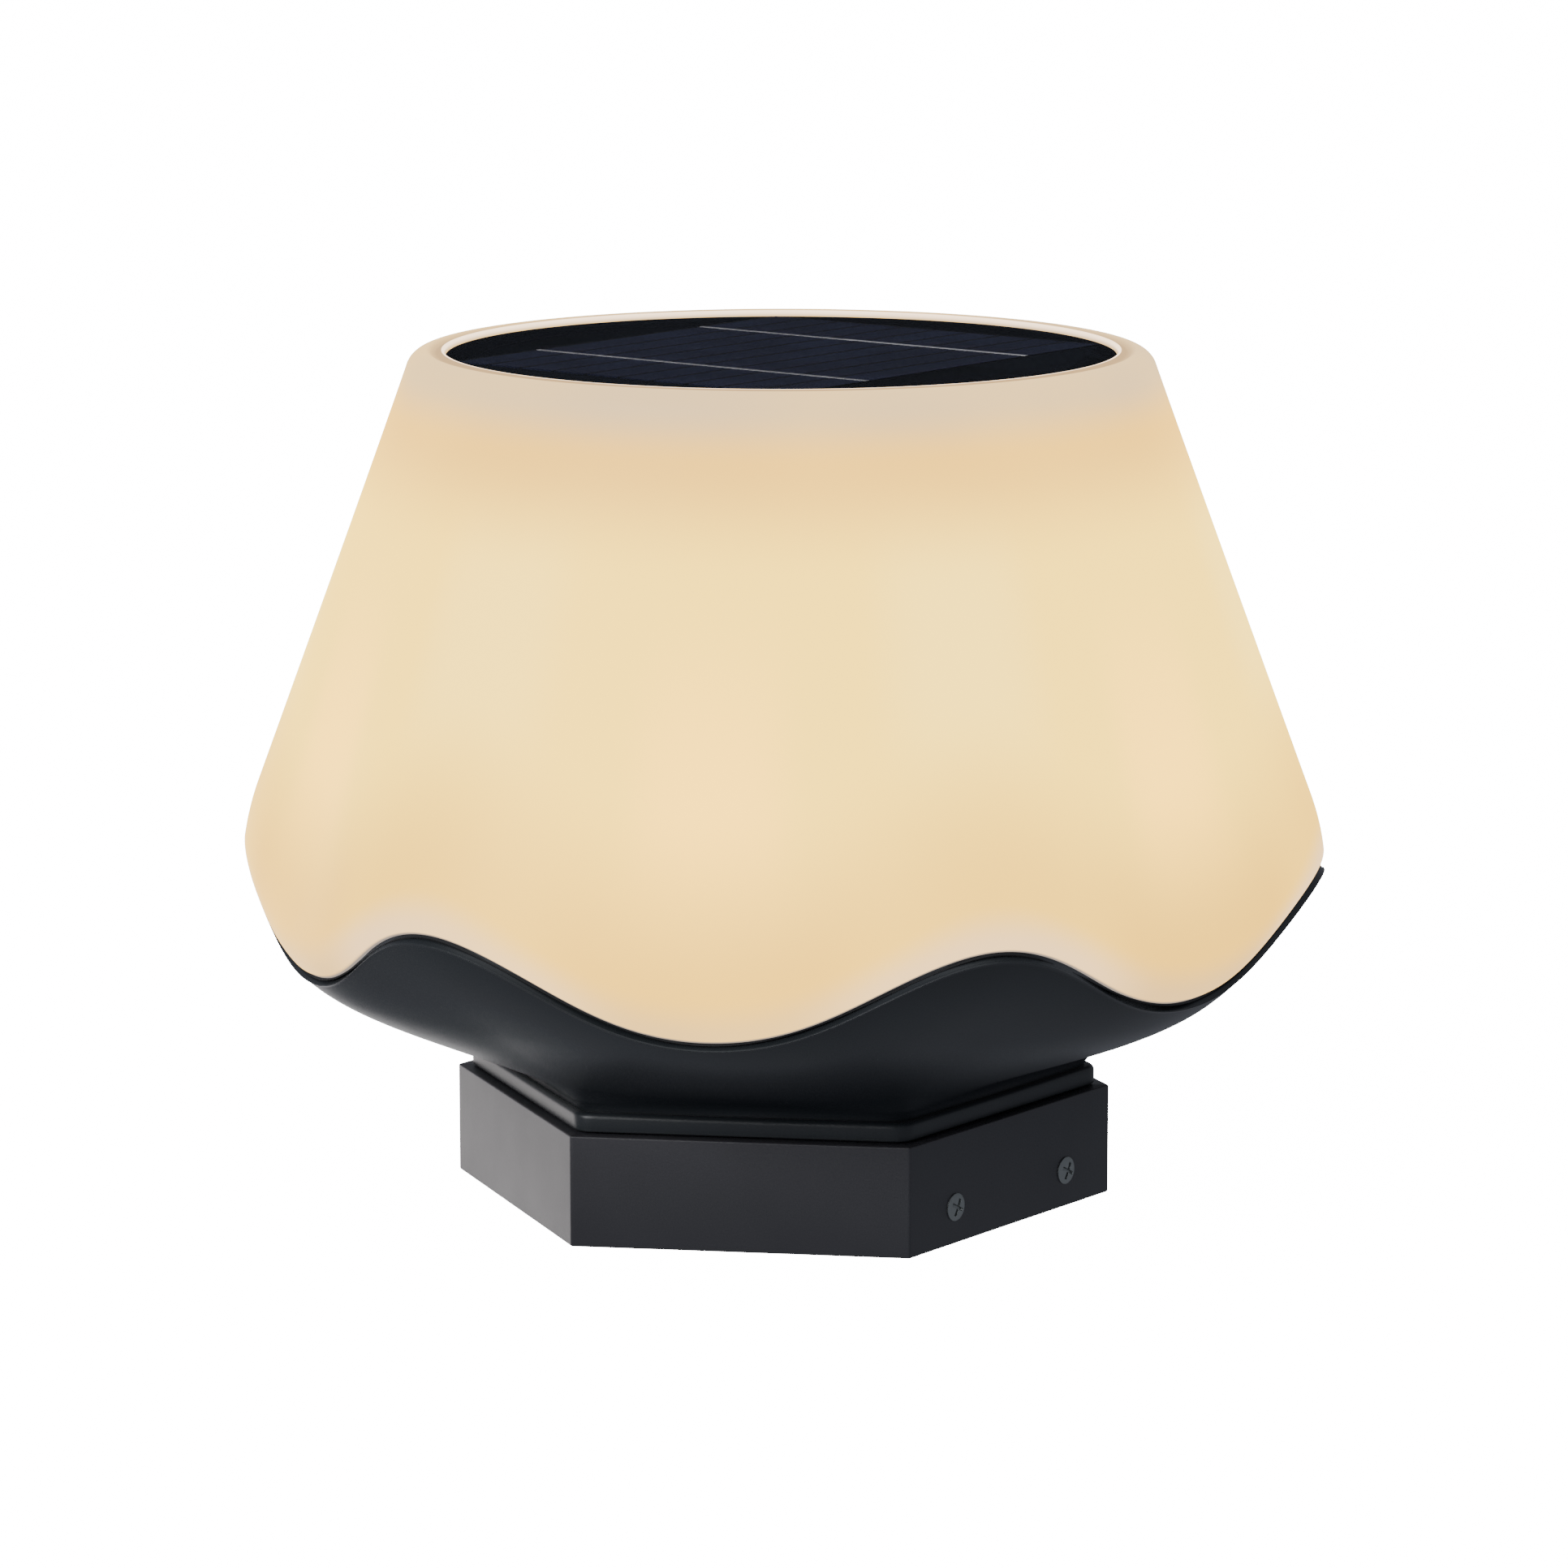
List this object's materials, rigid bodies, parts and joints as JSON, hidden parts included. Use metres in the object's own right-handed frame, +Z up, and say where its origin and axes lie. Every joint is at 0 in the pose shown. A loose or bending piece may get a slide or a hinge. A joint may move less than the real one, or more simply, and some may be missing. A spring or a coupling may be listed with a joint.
{
  "type": "outdoor post light",
  "caption": "Solar post light with a round panel on top, a glowing petal-edged opal shade in a wavy black cup, and a hexagonal skirt screwed over a bracket.",
  "frame": {"origin": "middle of the skirt's underside, on the post's top", "axes": "+Z up through the panel, +X towards one of the two skirt faces that carry the side screws"},
  "size_m": [0.281, 0.2952, 0.23],
  "materials": {
    "skirt_black": "satin black powder coat",
    "cup_black": "satin black powder coat",
    "shade_opal": "opal, satin, lit from inside",
    "panel_black": "matt",
    "cell_blue": "blue-black with fine lines",
    "ribbon_silver": "tinned",
    "cover_clear": "clear",
    "rubber_black": "matt",
    "screw_steel": "bright",
    "bracket_steel": "zinc plated",
    "tray_white": "white",
    "board_green": "solder mask",
    "led_yellow": "clear yellow",
    "cell_sleeve": "shrink sleeve",
    "contact_brass": "plated",
    "holder_black": "moulded",
    "lead_black": "cable sheath",
    "button_grey": "moulded"
  },
  "bodies": {
    "lamp": {"base_skirt": "skirt_black", "petal_cup": "cup_black", "shade": "shade_opal", "panel_backboard": "panel_black", "junction_box": "panel_black", "solar_cells": "cell_blue", "busbar_ribbons": "ribbon_silver", "panel_cover": "cover_clear", "foot_gasket": "rubber_black", "rim_seal": "rubber_black", "panel_gasket": "rubber_black", "lead_grommet": "rubber_black", "switch_washer": "rubber_black", "side_screws": "screw_steel", "skirt_screws": "screw_steel", "shade_screws": "screw_steel", "tray_screws": "screw_steel", "led_board_screws": "screw_steel", "holder_screws": "screw_steel", "board_screws": "screw_steel", "mounting_bracket": "bracket_steel", "inner_tray": "tray_white", "board_standoffs": "tray_white", "led_board": "board_green", "control_board": "board_green", "led_chips": "led_yellow", "battery_cells": "cell_sleeve", "battery_contacts": "contact_brass", "switch_nut": "contact_brass", "battery_holder": "holder_black", "battery_strap": "holder_black", "board_components": "holder_black", "switch_body": "holder_black", "panel_lead": "lead_black", "led_leads": "lead_black", "battery_lead": "lead_black", "switch_lead": "lead_black"},
    "button": {"switch_button": "button_grey"}
  },
  "joints": [
    {"name": "button_press", "type": "slide", "parent": "lamp", "child": "button", "axis": [0, 0, 1], "range_m": [0, 0.002], "stiffness_N_per_m": 400}
  ]
}
